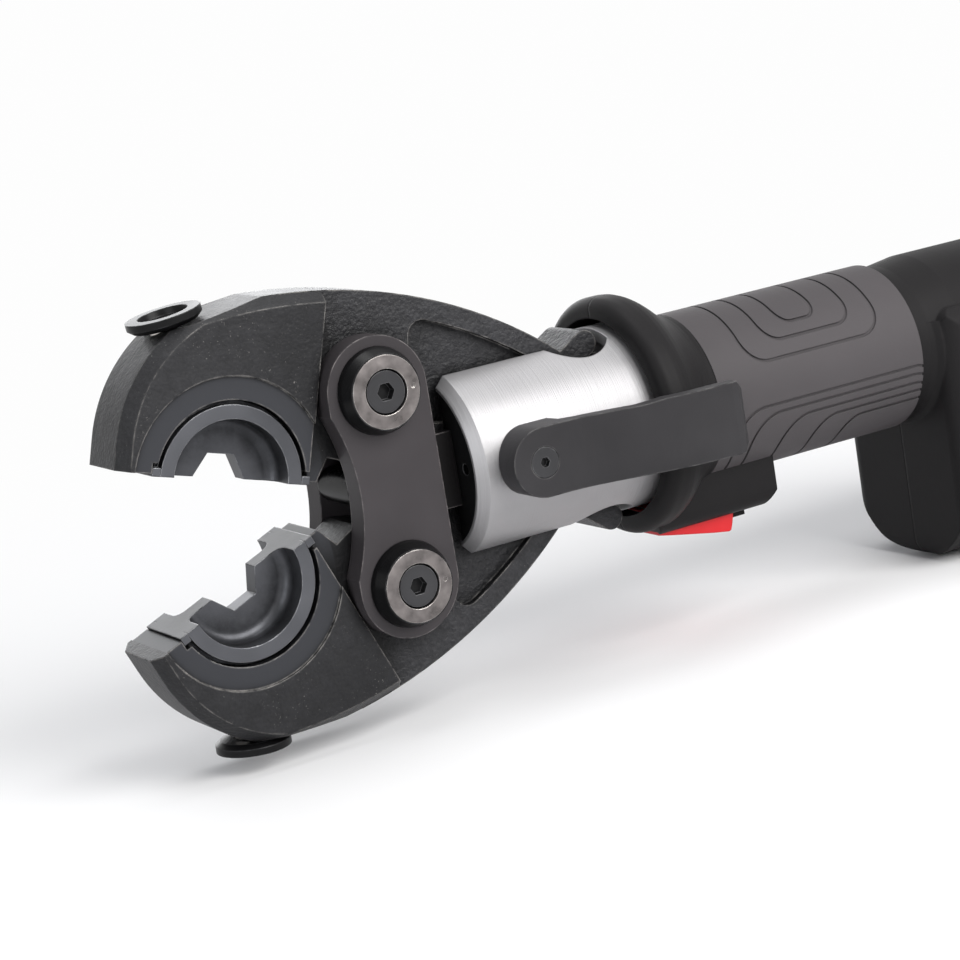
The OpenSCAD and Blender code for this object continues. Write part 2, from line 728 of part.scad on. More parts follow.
module belt_hook_screw() color([0.24, 0.24, 0.25]) difference() {
    union() {
        bar_y(hook_x, 0, hook_head_r, -hook_front_y, -hook_front_y + hook_head_t);
        bar_y(hook_x, 0, hook_screw_r, -hook_front_y, -fork_bore_r + hook_screw_bite - 1);
    }
    translate([hook_x, -hook_front_y - 1, 0]) rotate([-90, 0, 0]) cylinder(r = 1.7, h = 2.8, $fn = 6);
}

// Ram

groove_w = piston_len / 3;
groove_x0 = piston_x0 + groove_w;

module ram_piston() color([0.7, 0.7, 0.72]) difference() {
    turned() polygon([[0, ram_base_x0 + 0.6], [rod_r - 4, ram_base_x0 + 0.6], [rod_r - 4, ram_base_x1],
        [rod_r, ram_base_x1], [rod_r, piston_x0], [cyl_bore_r - 0.1, piston_x0],
        [cyl_bore_r - 0.1, piston_x0 + piston_len], [0, piston_x0 + piston_len]]);
    tube_x(cyl_bore_r + 1, cyl_bore_r - 2.6, groove_x0, groove_x0 + groove_w);
}

module piston_seal() color([0.1, 0.1, 0.1])
    tube_x(cyl_bore_r - 0.1, cyl_bore_r - 2.5, groove_x0 + 0.1, groove_x0 + groove_w - 0.1);

// Fork that carries the two rollers between the tails
module roller_fork() color([0.4, 0.4, 0.42]) difference() {
    plate_r = roller_r - 1.6;
    union() {
        for (m = [-1, 1]) side_span(m > 0 ? roller_half + 0.3 : -fork_plate_out,
            m > 0 ? fork_plate_out : -roller_half - 0.3) {
            for (up = [-1, 1]) translate([roller_x, up * roller_z]) circle(r = plate_r);
            translate([roller_x - plate_r, -roller_z])
                square([ram_base_x1 - roller_x + plate_r, 2 * roller_z]);
        }
        block([ram_base_x0, -fork_plate_out, -roller_z - 3], [ram_base_x1, fork_plate_out, roller_z + 3]);
    }
    for (up = [-1, 1]) bar_y(roller_x, up * roller_z, roller_pin_r + fit_clear, -60, 60);
    bar_x(rod_r - 4 + fit_clear, ram_base_x0 + 0.6, ram_base_x1 + 1);
}

module roller_pins() color([0.6, 0.6, 0.62]) for (up = [-1, 1])
    bar_y(roller_x, up * roller_z, roller_pin_r, -fork_plate_out, fork_plate_out);

module roller(up) difference() {
    bar_y(roller_x, up * roller_z, roller_r, -roller_half, roller_half);
    bar_y(roller_x, up * roller_z, roller_pin_r + run_clear, -60, 60);
}

module upper_roller() color([0.65, 0.65, 0.67]) roller(1);
module lower_roller() color([0.65, 0.65, 0.67]) roller(-1);

// Hydraulic cylinder with the swivel spigot behind it

rod_seal_x = gland_x1 - 5;

module hydraulic_cylinder() color([0.5, 0.5, 0.52]) difference() {
    turned() polygon([[rod_r + run_clear, cyl_x0], [cyl_r, cyl_x0], [cyl_r, cyl_back_x],
        [spigot_r, cyl_back_x], [spigot_r, spigot_x1], [2, spigot_x1], [2, cyl_x1],
        [cyl_bore_r, cyl_x1], [cyl_bore_r, gland_x1], [rod_r + run_clear, gland_x1]]);
    tube_x(rod_r + 2.5, rod_r - 1, rod_seal_x - 1.5, rod_seal_x + 1.5);
    tube_x(spigot_r + 1, spigot_r - 2, swivel_seal_x - 1.4, swivel_seal_x + 1.4);
    translate([swivel_pin_x, 0, 0]) rotate([0, 90, 0]) rotate_extrude()
        translate([spigot_r, 0]) circle(r = swivel_pin_r + 0.2);
}

module rod_seal() color([0.1, 0.1, 0.1])
    tube_x(rod_r + 2.4, rod_r + run_clear, rod_seal_x - 1.4, rod_seal_x + 1.4);

module swivel_seal() color([0.1, 0.1, 0.1])
    tube_x(spigot_r, spigot_r - 1.9, swivel_seal_x - 1.3, swivel_seal_x + 1.3);

module return_spring() color([0.6, 0.6, 0.62])
    tube_x(cyl_bore_r - 1.5, rod_r + 1, gland_x1 + 0.1, piston_x0 - 0.1);

// Pump, drive and electrics

module thrust_washer() color([0.6, 0.55, 0.35]) tube_x(cyl_r - 2, spigot_r + 0.3, cyl_back_x, pump_x0);

module swivel_pins() color([0.6, 0.6, 0.62]) for (m = [-1, 1])
    translate([swivel_pin_x, m * spigot_r, 0]) cylinder(r = swivel_pin_r, h = swivel_pin_l, center = true);

bladder_x0 = pump_x0 + 4;
bladder_x1 = pump_x0 + 18;
bladder_r = pump_r - 6;
plunger_r = 3;
plunger_z0 = ecc_throw + ecc_ring_r + 0.3;
plunger_x = (ecc_x0 + ecc_x1) / 2;
plunger_head_z = pump_r - 3.5;
valve_x = pump_x1 - 4;
valve_r = 2.6;

module pump_block() color([0.62, 0.62, 0.64]) difference() {
    bar_x(pump_r, pump_x0, pump_x1);
    tube_x(pump_r + 1, bladder_r, bladder_x0, bladder_x1);
    bar_x(spigot_r + run_clear, pump_x0 - 1, spigot_x1 + 1);
    for (m = [-1, 1]) translate([swivel_pin_x, m * spigot_r, 0])
        cylinder(r = swivel_pin_r + fit_clear, h = swivel_pin_l + 0.4, center = true);
    bar_x(3 + run_clear, ecc_x0 - 4, ecc_x0);
    bar_x(ecc_throw + ecc_ring_r + 0.6, ecc_x0 - 0.4, pump_x1 + 1);
    translate([plunger_x, 0, 0]) {
        cylinder(r = plunger_r + fit_clear, h = pump_r + 1);
        translate([0, 0, plunger_z0 + 2]) cylinder(r = plunger_r + 2, h = pump_r);
    }
    for (m = [-1, 1]) translate([valve_x - 2, 0, 0]) rotate([m * 130, 0, 0])
        translate([0, 0, pump_r - 9]) cylinder(r = valve_r + fit_clear, h = 20);
}

module pump_plunger() color([0.7, 0.7, 0.72]) translate([plunger_x, 0, 0]) difference() {
    union() {
        translate([0, 0, plunger_z0]) cylinder(r = plunger_r, h = plunger_head_z - plunger_z0);
        translate([0, 0, plunger_head_z]) cylinder(r = plunger_r + 1.9, h = 2.6);
    }
    translate([0, 0, plunger_head_z + 1]) cylinder(r = 1.6, h = 5, $fn = 6);
}

module plunger_spring() color([0.6, 0.6, 0.62]) translate([plunger_x, 0, plunger_z0 + 2.05]) difference() {
    cylinder(r = plunger_r + 1.7, h = plunger_head_z - plunger_z0 - 2.1);
    translate([0, 0, -1]) cylinder(r = plunger_r + 0.2, h = 30);
}

module check_valves() color([0.75, 0.68, 0.4]) for (m = [-1, 1])
    translate([valve_x - 2, 0, 0]) rotate([m * 130, 0, 0])
        translate([0, 0, pump_r - 8.9]) cylinder(r = valve_r, h = 8);

module oil_bladder() color([0.15, 0.15, 0.16])
    tube_x(pump_r - 0.3, bladder_r + 0.1, bladder_x0 + 0.1, bladder_x1 - 0.1);

module eccentric_shaft() color([0.7, 0.7, 0.72]) {
    bar_x(3, ecc_x0 - 3.6, ecc_x0 + 0.1);
    translate([0, 0, ecc_throw]) bar_x(ecc_r, ecc_x0, ecc_x1);
    bar_x(4, ecc_x1 - 0.1, gear_x0 + gear_shaft_l);
}

module eccentric_bearing() color([0.6, 0.6, 0.62]) translate([0, 0, ecc_throw])
    tube_x(ecc_ring_r, ecc_r + fit_clear, ecc_x0 + 0.2, ecc_x1 - 0.2);

gear_neck_in = 5;
motor_neck_in = 8;
motor_neck_len = 6;
vent_w = 6;
vent_len = 10;
vent_depth = 2;
vent_gap = 12;

module gearbox_case() color([0.35, 0.35, 0.36]) difference() {
    union() {
        bar_x(drive_r, gear_x0, gear_x1);
        bar_x(drive_r - gear_neck_in, pump_x1, gear_x0 + 1);
    }
    bar_x(4 + run_clear, gear_x0 - 1, gear_x0 + gear_shaft_l + 1);
    bar_x(ecc_throw + ecc_ring_r + 0.6, pump_x1 - 1, gear_x0);
}

module motor_can() color([0.5, 0.5, 0.52]) difference() {
    union() {
        bar_x(drive_r, gear_x1, motor_x1 - motor_neck_len);
        bar_x(drive_r - motor_neck_in, motor_x1 - motor_neck_len, motor_x1);
    }
    for (a = [0:60:300]) rotate([a, 0, 0])
        block([motor_x1 - vent_gap - vent_len, -vent_w / 2, drive_r - vent_depth],
            [motor_x1 - vent_gap, vent_w / 2, drive_r + 2]);
}

board_x = bay_x0 - shell_t - 4;
board_t = 1.6;
board_half = foot_half - 9;
board_z0 = battery_z0 + 19;
board_z1 = seat_z - 0.5;
board_mid = (board_z0 + board_z1) / 2;

module control_board() color([0.1, 0.35, 0.2]) {
    block([board_x - board_t, -board_half, board_z0], [board_x, board_half, board_z1]);
    for (y = [-14, 2]) block([board_x - board_t - 3.4, y, board_z0 + 4],
        [board_x - board_t, y + 10, board_z1 - 7]);
    for (m = [-1, 1]) translate([0, m * (board_half - 6), board_mid]) bar_x(1.5, board_x, bay_x0 - shell_t);
}

terminal_x1 = bay_x0 + 7;
blade_y = 9;

module terminal_block() color([0.2, 0.2, 0.2]) {
    block([bay_x0, 1 - neck_half, rail_z0 - 3], [terminal_x1, neck_half - 1, rail_z1 - 0.2]);
    for (m = [-1, 1]) block([terminal_x1, m * blade_y - 0.5, rail_z0 + 0.6],
        [terminal_x1 + 9, m * blade_y + 0.5, rail_z1 - 1]);
}

// A rounded rectangle in Y and Z
module rounded(w, z0, z1, r) {
    translate([-w / 2, z0 + r]) square([w, z1 - z0 - 2 * r]);
    translate([r - w / 2, z0]) square([w - 2 * r, z1 - z0]);
    for (m = [-1, 1], z = [z0 + r, z1 - r]) translate([m * (w / 2 - r), z]) circle(r = r);
}

// An outline in Y and Z, extruded along the tool
module along(x0, x1) rotate([90, 0, 90]) translate([0, 0, x0]) linear_extrude(x1 - x0) children();

// Battery: a pack that slides on from the rear along a tee-shaped rail

latch_x0 = battery_x1 - 16;
latch_w = 20;
latch_z0 = seat_z - 14;

battery_mid = (battery_x0 + battery_x1) / 2;
battery_edge = 12;

module battery_body() intersection() {
    translate([battery_mid, 0, 0]) side(battery_w)
        rounded(battery_x1 - battery_x0, battery_z0, seat_z + 2 * foot_edge, foot_edge);
    along(battery_x0, battery_x1) rounded(battery_w, battery_z0, seat_z + 2 * battery_edge, battery_edge);
    block([battery_x0, -battery_w, battery_z0], [battery_x1, battery_w, seat_z - slide_clear]);
}

module battery_case() color([0.15, 0.15, 0.16]) difference() {
    rail_x0 = terminal_x1 + 1;
    rail_x1 = latch_x0 - 2;
    union() {
        battery_body();
        block([rail_x0, -neck_half, seat_z - 1], [rail_x1, neck_half, rail_z0 + 1]);
        block([rail_x0, -rail_half, rail_z0 + slide_clear], [rail_x1, rail_half, rail_z1 - slide_clear]);
    }
    for (m = [-1, 1]) block([rail_x0 - 1, m * blade_y - 1.2, rail_z0 - 1],
        [rail_x0 + 10, m * blade_y + 1.2, 0]);
    block([latch_x0 - 1, -latch_w / 2 - 1, latch_z0], [battery_x1 + 1, latch_w / 2 + 1, 0]);
    // sunk finger ribs in the two sides
    for (m = [-1, 1], i = [0:3])
        translate([battery_x1 - 46 + 8 * i, m * battery_half, seat_z - battery_h / 2])
            rotate([0, 15, 0]) cube([3, 2, battery_h / 2], center = true);
}

// Springy latch tab on the pack: its tooth stands in a notch in the rail channel's ceiling
module battery_latch() color([0.6, 0.12, 0.13]) side(latch_w) polygon([
    [latch_x0 - 1, latch_z0], [battery_x1 - 3, latch_z0], [battery_x1 - 3, latch_z0 + 4],
    [latch_x0 + 12, latch_z0 + 4], [latch_x0 + 12, seat_z - 6], [battery_x1 + 0.6, seat_z - 5],
    [battery_x1 + 0.6, seat_z - 1.5], [latch_x0 + 11, seat_z], [latch_x0 + 10, rail_z1 - 1],
    [latch_x0 + 9, rail_z1 + 1.6], [latch_x0 + 6.6, rail_z1 + 1.6], [latch_x0 + 4, rail_z1 - 1],
    [latch_x0 + 7, seat_z - 1], [latch_x0 + 7, latch_z0 + 4], [latch_x0 - 1, latch_z0 + 4]]);

// Housing shells

// Everything that is turned about the tool axis
module barrel_outline() {
    translate([collar_r - collar_lip, collar_x + collar_lip]) circle(r = collar_lip);
    translate([rear_r - rear_edge, rear_x - rear_edge]) circle(r = rear_edge);
    polygon([[0, collar_x], [collar_r - collar_lip, collar_x], [collar_r, collar_x + collar_lip],
        each [for (i = [0:collar_steps]) collar_curve(i / collar_steps)], [core_r, grip_x0],
        [core_r, grip_x1], [grip_r - neck_drop, grip_x1], [grip_r - neck_drop, grip_x1 + 6],
        [rear_r, grip_x1 + 18], [rear_r, rear_x - rear_edge], [rear_r - rear_edge, rear_x], [0, rear_x]]);
}

collar_lip = 4;
collar_steps = 10;

// The collar's fall from its rim to the grip: half a cosine wave
function collar_curve(t) = let (x0 = collar_x + collar_lip + 3)
    [grip_r + (collar_r - grip_r) * (1 + cos(180 * t)) / 2, x0 + (grip_x0 - x0) * t];

rear_edge = 8;
neck_drop = 1.5;
lip_r = grip_r + 0.9;

// Lip where the neck runs into the wide lower housing
module neck_lip() intersection() {
    turned() polygon([[0, foot_front - 3.5], [grip_r - neck_drop, foot_front - 3.5],
        [grip_r - neck_drop + 0.8, foot_front - 1.4], [lip_r, foot_front + 0.3],
        [lip_r, foot_front + foot_edge + 2], [0, foot_front + foot_edge + 2]]);
    block([0, -60, -60], [rear_x, 60, foot_top_z - 3.5]);
}

module guard_outline() polygon([[collar_x + 5, -20], [guard_x0, guard_z0 + 6], [guard_x0 + 4, guard_z0],
    [guard_x1 - 4, guard_z0], [guard_x1, guard_z0 + 5], [guard_x1, -20]]);

foot_len = rear_x - foot_front;
foot_mid = (foot_front + rear_x) / 2;

// The lower housing seen from the front: straight sides and a round underside
module foot_section() {
    for (m = [-1, 1]) {
        translate([m * (foot_half - lobe_r), battery_z0 + lobe_r]) circle(r = lobe_r, $fn = 120);
        translate([m * (foot_half - foot_edge), foot_top_z - foot_edge]) circle(r = foot_edge);
    }
    translate([lobe_r - foot_half, battery_z0]) square([foot_w - 2 * lobe_r, foot_top_z - battery_z0]);
    translate([foot_edge - foot_half, battery_z0 + lobe_r])
        square([foot_w - 2 * foot_edge, foot_top_z - battery_z0 - lobe_r]);
    translate([-foot_half, battery_z0 + lobe_r])
        square([foot_w, foot_top_z - foot_edge - battery_z0 - lobe_r]);
}

module foot_solid() intersection() {
    translate([foot_mid, 0, 0]) side(foot_w) rounded(foot_len, battery_z0, foot_top_z, foot_edge);
    along(foot_front - 1, rear_x + 1) foot_section();
    translate([foot_mid, 0, -120]) linear_extrude(240) rounded(foot_len, -foot_half, foot_half, foot_edge);
}

// Hollows inside the shells
module housing_hollow() {
    bar_x(fork_r + 2.5, collar_x - 1, fork_x1 + 2);
    bar_x(shell_bore_r, collar_x, pump_x1 + 0.5);
    bar_x(drive_bore_r, pump_x1 + 0.4, motor_x1 - motor_neck_len + 0.5);
    bar_x(drive_r - motor_neck_in + 0.5, pump_x1, motor_x1 + 0.5);
    // trigger pocket and its slots
    block([guard_x0 + 3, 3 - guard_half, guard_z0 + 3], [guard_x1 - 6, guard_half - 3, guard_z1]);
    block([trigger_x0 - 0.6, -trigger_half - slide_clear, -60],
        [trigger_x1 + 0.6, trigger_half + slide_clear, guard_z1]);
    block([release_x0 - slide_clear, -release_half - slide_clear, -60],
        [release_x1 + slide_clear, release_half + slide_clear, guard_z1]);
    bar_y(trigger_pin_x, trigger_pin_z, trigger_pin_r + fit_clear, 1.5 - guard_half, guard_half - 1.5);
    // battery bay, rail channel with the latch notch, and board pocket
    block([bay_x0, -60, -120], [rear_x + 1, 60, seat_z]);
    block([bay_x0, -neck_half - slide_clear, seat_z - 1],
        [rear_x + 1, neck_half + slide_clear, rail_z0 + 1]);
    block([bay_x0, -rail_half - slide_clear, rail_z0], [rear_x + 1, rail_half + slide_clear, rail_z1]);
    block([latch_x0 + 5, -latch_w / 2 - 0.5, rail_z0], [latch_x0 + 9.6, latch_w / 2 + 0.5, rail_z1 + 2.2]);
    block([foot_front + front_wall, -board_half - 1, board_z0 - 1],
        [bay_x0 - shell_t, board_half + 1, board_z1 + 2]);
}

// Screws from the right-hand side: X, Z and the Y of the head's seat
screw_spots = [[collar_x + 7, collar_r - 4.2, 7], [guard_x1 - 3, guard_z0 + 9, guard_half - 5],
    [board_x - 1, board_z1 + 5.5, 14], [board_x - 1, battery_z0 + 11, 12],
    [rear_x - 4.5, foot_top_z - 6, foot_half - 9], [rear_x - 4.5, foot_top_z - 32, foot_half - 9]];
screw_r = 1.6;
screw_head_r = 2.8;
screw_head_t = 2.2;

module housing_solid() difference() {
    union() {
        turned() barrel_outline();
        intersection() {
            side(guard_w) guard_outline();
            along(collar_x, guard_x1 + 1) rounded(guard_w, guard_z0, guard_edge, guard_edge);
        }
        neck_lip();
        foot_solid();
    }
    housing_hollow();
    for (p = screw_spots) {
        bar_y(p[0], p[1], screw_r + fit_clear, -10.5, 60);
        bar_y(p[0], p[1], screw_head_r + 0.2, p[2], 60);
    }
}

module left_housing() color([0.2, 0.2, 0.2]) intersection() {
    housing_solid();
    block([-400, -200, -200], [400, 0, 200]);
}

module right_housing() color([0.2, 0.2, 0.2]) intersection() {
    housing_solid();
    block([-400, 0, -200], [400, 200, 200]);
}

module housing_screws() color([0.5, 0.5, 0.52]) for (p = screw_spots) difference() {
    union() {
        bar_y(p[0], p[1], screw_r, -10, p[2] + 0.5);
        bar_y(p[0], p[1], screw_head_r, p[2], p[2] + screw_head_t);
    }
    translate([p[0], p[2] + 0.9, p[1]]) rotate([-90, 0, 0]) cylinder(r = 1.2, h = 4, $fn = 6);
}

// Contour lines of the grip seen from the side: front and rear X, the edge nearest the axis, corner radius
grip_lines = [[-0.34, 0.34, 0.34, 9], [-0.22, 0.226, 0.53, 7], [-0.11, 0.085, 0.68, 5],
    [-0.44, 0.6, -0.133, 12], [-0.36, 0.6, -0.232, 12], [-0.21, 0.6, -0.34, 12],
    [-0.045, 0.6, -0.44, 10], [0.11, 0.6, -0.54, 8]];
line_w = 0.9;
line_t = 0.6;

// One sunk contour line: a rounded frame that runs off over the top, under the grip or past its rear end
module grip_line(l) {
    x0 = l[0] * grip_len;
    x1 = l[1] * grip_len;
    near = abs(l[2]) * grip_r;
    translate([(x0 + x1) / 2, 0]) mirror([0, l[2] > 0 ? 0 : 1]) difference() {
        rounded(x1 - x0, near, 3 * grip_r, l[3]);
        rounded(x1 - x0 - 2 * line_w, near + line_w, 4 * grip_r, l[3] - line_w);
    }
}

// Rubber grip with sunk contour lines, closed loops above and long bends below
module grip_sleeve() color([0.45, 0.43, 0.44]) difference() {
    tube_x(grip_r, core_r + fit_clear, grip_x0 + 0.1, grip_x1 - 0.1);
    block([grip_x0 - 1, -guard_half - 0.1, -60], [guard_x1 + 0.1, guard_half + 0.1, 0]);
    intersection() {
        side(4 * grip_r) for (l = grip_lines) grip_line(l);
        tube_x(grip_r + 2, grip_r - line_t, grip_x0 - 2, grip_x1 + 2);
    }
}

// Trigger: pivots on a pin at its front end; its rear face is an arc about the pin
module trigger() color([0.8, 0.16, 0.18]) difference() {
    side(trigger_w) intersection() {
        translate([trigger_pin_x, trigger_pin_z]) circle(r = trigger_x1 - trigger_pin_x, $fn = 120);
        polygon([[trigger_x0, trigger_pin_z + 2], [trigger_x0, guard_z0 - 0.3],
            [trigger_x0 + 5, guard_z0 - 1.4], [trigger_x1 - 9, guard_z0 - 4.6],
            [trigger_x1 - 3, guard_z0 - 5.6], [trigger_x1, guard_z0 - 4.8], [trigger_x1, trigger_pin_z + 2],
            [trigger_x1 - 7, trigger_pin_z + 2]]);
    }
    bar_y(trigger_pin_x, trigger_pin_z, trigger_pin_r + run_clear, -60, 60);
}

module trigger_pin() color([0.6, 0.6, 0.62])
    bar_y(trigger_pin_x, trigger_pin_z, trigger_pin_r, 1.6 - guard_half, guard_half - 1.6);

switch_z0 = trigger_pin_z + 6.4;

module switch_block() color([0.25, 0.25, 0.27])
    block([trigger_x1 - 16, -6, switch_z0], [guard_x1 - 8, 6, guard_z1]);

module release_button() color([0.1, 0.1, 0.11]) {
    block([release_x0, -release_half, guard_z0 - 3], [release_x1, release_half, guard_z0 + 6]);
    block([release_x0 - 0.6, -release_half - 1.5, guard_z0 + 3.2],
        [release_x1 + 0.6, release_half + 1.5, guard_z0 + 6]);
}

left_housing();
right_housing();
grip_sleeve();
housing_screws();
trigger();
trigger_pin();
switch_block();
release_button();
thrust_washer();
swivel_pins();
pump_block();
pump_plunger();
plunger_spring();
check_valves();
oil_bladder();
eccentric_shaft();
eccentric_bearing();
gearbox_case();
motor_can();
control_board();
terminal_block();
battery_case();
battery_latch();
fork_housing();
left_cheek_block();
right_cheek_block();
left_link_plate();
right_link_plate();
cheek_dowels();
upper_pivot_pin();
lower_pivot_pin();
pin_collars();
pin_rings();
pin_screws();
cheek_grub_screws();
belt_hook();
belt_hook_screw();
hydraulic_cylinder();
rod_seal();
swivel_seal();
return_spring();
jaw_spring();
jaw_stop();
ram_piston();
piston_seal();
roller_fork();
roller_pins();
upper_roller();
lower_roller();
upper_jaw();
lower_jaw();
upper_die();
lower_die();
upper_knob_bush();
lower_knob_bush();
upper_knob_spring();
lower_knob_spring();
upper_die_knob();
lower_die_knob();
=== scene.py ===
"""Hydraulic crimping tool: finishes, wound springs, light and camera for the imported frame, in metres."""
import json
import math

import bpy
import numpy as np
from mathutils import Matrix, Vector


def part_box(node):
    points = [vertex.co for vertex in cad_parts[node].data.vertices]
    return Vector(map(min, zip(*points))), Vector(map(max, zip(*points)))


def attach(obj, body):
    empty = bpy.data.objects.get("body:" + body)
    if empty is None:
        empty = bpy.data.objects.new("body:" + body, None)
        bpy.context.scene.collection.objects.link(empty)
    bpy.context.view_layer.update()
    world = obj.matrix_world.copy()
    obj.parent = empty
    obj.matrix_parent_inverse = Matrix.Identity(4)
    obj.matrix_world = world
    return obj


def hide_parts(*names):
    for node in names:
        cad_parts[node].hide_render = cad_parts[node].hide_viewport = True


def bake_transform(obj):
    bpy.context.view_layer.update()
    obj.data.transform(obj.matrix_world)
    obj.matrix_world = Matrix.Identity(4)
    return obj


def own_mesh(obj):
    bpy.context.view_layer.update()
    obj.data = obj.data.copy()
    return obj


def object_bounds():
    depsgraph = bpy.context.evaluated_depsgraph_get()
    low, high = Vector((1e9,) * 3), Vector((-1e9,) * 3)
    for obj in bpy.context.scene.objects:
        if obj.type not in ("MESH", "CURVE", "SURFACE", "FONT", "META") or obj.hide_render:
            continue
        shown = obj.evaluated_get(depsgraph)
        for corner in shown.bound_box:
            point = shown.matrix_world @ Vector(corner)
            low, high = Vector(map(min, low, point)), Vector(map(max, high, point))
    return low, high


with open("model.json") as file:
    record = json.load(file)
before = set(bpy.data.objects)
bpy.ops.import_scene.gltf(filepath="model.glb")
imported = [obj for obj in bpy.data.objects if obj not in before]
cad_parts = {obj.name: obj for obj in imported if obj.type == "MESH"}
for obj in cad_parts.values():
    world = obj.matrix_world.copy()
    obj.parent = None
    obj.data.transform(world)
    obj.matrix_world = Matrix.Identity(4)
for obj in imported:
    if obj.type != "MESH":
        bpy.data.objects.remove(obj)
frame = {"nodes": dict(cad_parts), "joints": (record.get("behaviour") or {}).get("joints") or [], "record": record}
cad_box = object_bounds()
nodes = frame["nodes"]
joints = {j["name"]: j for j in frame["joints"]}
MM = 0.001

# Camera: azimuth, elevation and roll in degrees; the eye's steps right, up and back; lengths in pixels
VIEW_ANGLES = (27.95, 11.35, -9.3)
EYE_STEPS_MM = (-98.96, -36.12, 959.64)
FOCAL_PX = 2850.9
PICTURE_PX = 960.0
SENSOR_MM = 36.0
CLIP_END = 50.0

# Light: the surround as it is seen and as it lights; soft boxes by place, side, watts and tint
SURROUND = (0.985, 0.985, 0.985, 1)
FILL = (0.86, 0.88, 0.92, 1)
FILL_STRENGTH = 0.2
AIM = (-0.08, 0.0, 0.0)
SOFT_BOXES = {
    "key_box": ((0.3, -1.05, 0.75), 1.0, 23.0, (1.0, 0.99, 0.97)),
    "top_box": ((-0.15, 0.1, 1.1), 0.8, 6.0, (1, 1, 1)),
    "far_box": ((0.15, 1.2, 0.2), 0.9, 8.0, (0.97, 0.98, 1.0)),
    "nose_box": ((-0.95, -0.5, 0.25), 0.5, 2.2, (0.96, 0.98, 1.0)),
}

# Floor: half side, gap under the tool, and where it fades into the surround
FLOOR_COLOUR = (0.86, 0.86, 0.87, 1)
FLOOR_ROUGH = 0.9
FLOOR_SPECULAR = 0.1
FLOOR_HALF = 8.0
FLOOR_GAP = 0.5 * MM
FADE_START = 0.15
FADE_END = 0.6

# Places of finishes on the head
DIE_AHEAD = 43.0 * MM
BAND_R = 31.7 * MM
BAND_FADE = 0.2 * MM
MATE_REACH = 0.4 * MM
HUB_HALF = 10.2 * MM
HUB_FRONT = -166.0 * MM
# where the painted shade on the link plate's tail begins
PLATE_TAIL = -139.5 * MM
TAIL_FADE = 0.6 * MM

# Strengths of finishes: shares of the base colour, or of the grain's depth
# painted shade: share of the base colour left where crevices and neighbouring parts hide the sky
CREVICE_SHADE_SHARE = 0.18
# darker mating faces of the dies: share of the base colour
MATE_DARK_SHARE = 0.22
# painted shade on the link plate's tail, where it runs in behind the fork: share of the base colour
TAIL_SHADE_SHARE = 0.2
# lumps of the casting skin made lighter: partly casting texture, partly painted glints
SKIN_PALE_AND_GLINT = 2.4
SKIN_SCALE = 620.0
SKIN_DEPTH = 0.7 * MM
BAND_ROUGH = 0.4
BAND_GRAIN = 0.1
RING_STRETCH = (1.0, 0.012, 0.012)

# Springs: mean radius, wire and turns; insets are from the plain tube's outside to the wire's middle
JAW_COIL = (3.1 * MM, 1.6 * MM, 6.0)
KNOB_COIL = (4.25 * MM, 1.4 * MM, 4.0)
KNOB_COIL_LENGTH = 9.6 * MM
RETURN_INSET = 1.3 * MM
RETURN_WIRE = 2.6 * MM
RETURN_TURNS = 5.0
PLUNGER_INSET = 0.7 * MM
PLUNGER_WIRE = 1.3 * MM
PLUNGER_TURNS = 3.5
TURN_STEPS = 36
WIRE_SIDES = 14
CLOSED_TURNS = 0.6
OPEN_PITCH = 1.4
PART_SLACK = 1e-9


# Nodes

def feed(tree, slot, value):
    """Links a socket into slot, or sets slot to a plain value."""
    if isinstance(value, bpy.types.NodeSocket):
        tree.links.new(value, slot)
    else:
        slot.default_value = value


def add_node(tree, kind, **values):
    """New node with its input sockets fed by name; words with no socket are set as properties."""
    n = tree.nodes.new(kind)
    for key, value in values.items():
        if key in n.inputs:
            feed(tree, n.inputs[key], value)
        else:
            setattr(n, key, value)
    return n


def calc(tree, operation, *terms):
    """Result of a Math node over sockets or numbers."""
    n = add_node(tree, "ShaderNodeMath", operation=operation)
    for slot, term in zip(n.inputs, terms):
        feed(tree, slot, term)
    return n.outputs[0]


def vector_node(tree, operation, *terms):
    """Vector Math node over sockets or triples."""
    n = add_node(tree, "ShaderNodeVectorMath", operation=operation)
    for slot, term in zip(n.inputs, terms):
        feed(tree, slot, term)
    return n


def ramp(tree, value, low=0.0, high=1.0, start=0.0, end=1.0):
    """Value from low to high, brought to the range from start to end."""
    ends = {"From Min": low, "From Max": high, "To Min": start, "To Max": end}
    return add_node(tree, "ShaderNodeMapRange", Value=value, **ends).outputs["Result"]


def place_in(tree):
    """Object coordinates."""
    return add_node(tree, "ShaderNodeTexCoord").outputs["Object"]


def split_place(tree):
    """Object coordinates as X, Y and Z outputs."""
    return add_node(tree, "ShaderNodeSeparateXYZ", Vector=place_in(tree)).outputs


def noise(tree, place, scale, detail, roughness):
    """Noise from 0 to 1 over a place."""
    return add_node(tree, "ShaderNodeTexNoise", Vector=place, Scale=scale, Detail=detail,
                    Roughness=roughness).outputs["Fac"]


def over(tree, mask, below, colour, blend="MIX"):
    """Colour below, which goes over to a fixed colour with the mask."""
    mix = add_node(tree, "ShaderNodeMix", data_type="RGBA", blend_type=blend)
    for i, value in ((0, mask), (6, below), (7, list(colour) + [1])):
        feed(tree, mix.inputs[i], value)
    return mix.outputs[2]


def over_value(tree, mask, below, number):
    """Value below, which goes over to a fixed number with the mask."""
    mix = add_node(tree, "ShaderNodeMix", data_type="FLOAT")
    for i, value in ((0, mask), (2, below), (3, number)):
        feed(tree, mix.inputs[i], value)
    return mix.outputs[0]


def raised(tree, height, depth, normal):
    """Normal bent by a height field of the given depth in metres."""
    return add_node(tree, "ShaderNodeBump", Strength=1.0, Distance=depth, Height=height,
                    Normal=normal).outputs["Normal"]


# Camera and light

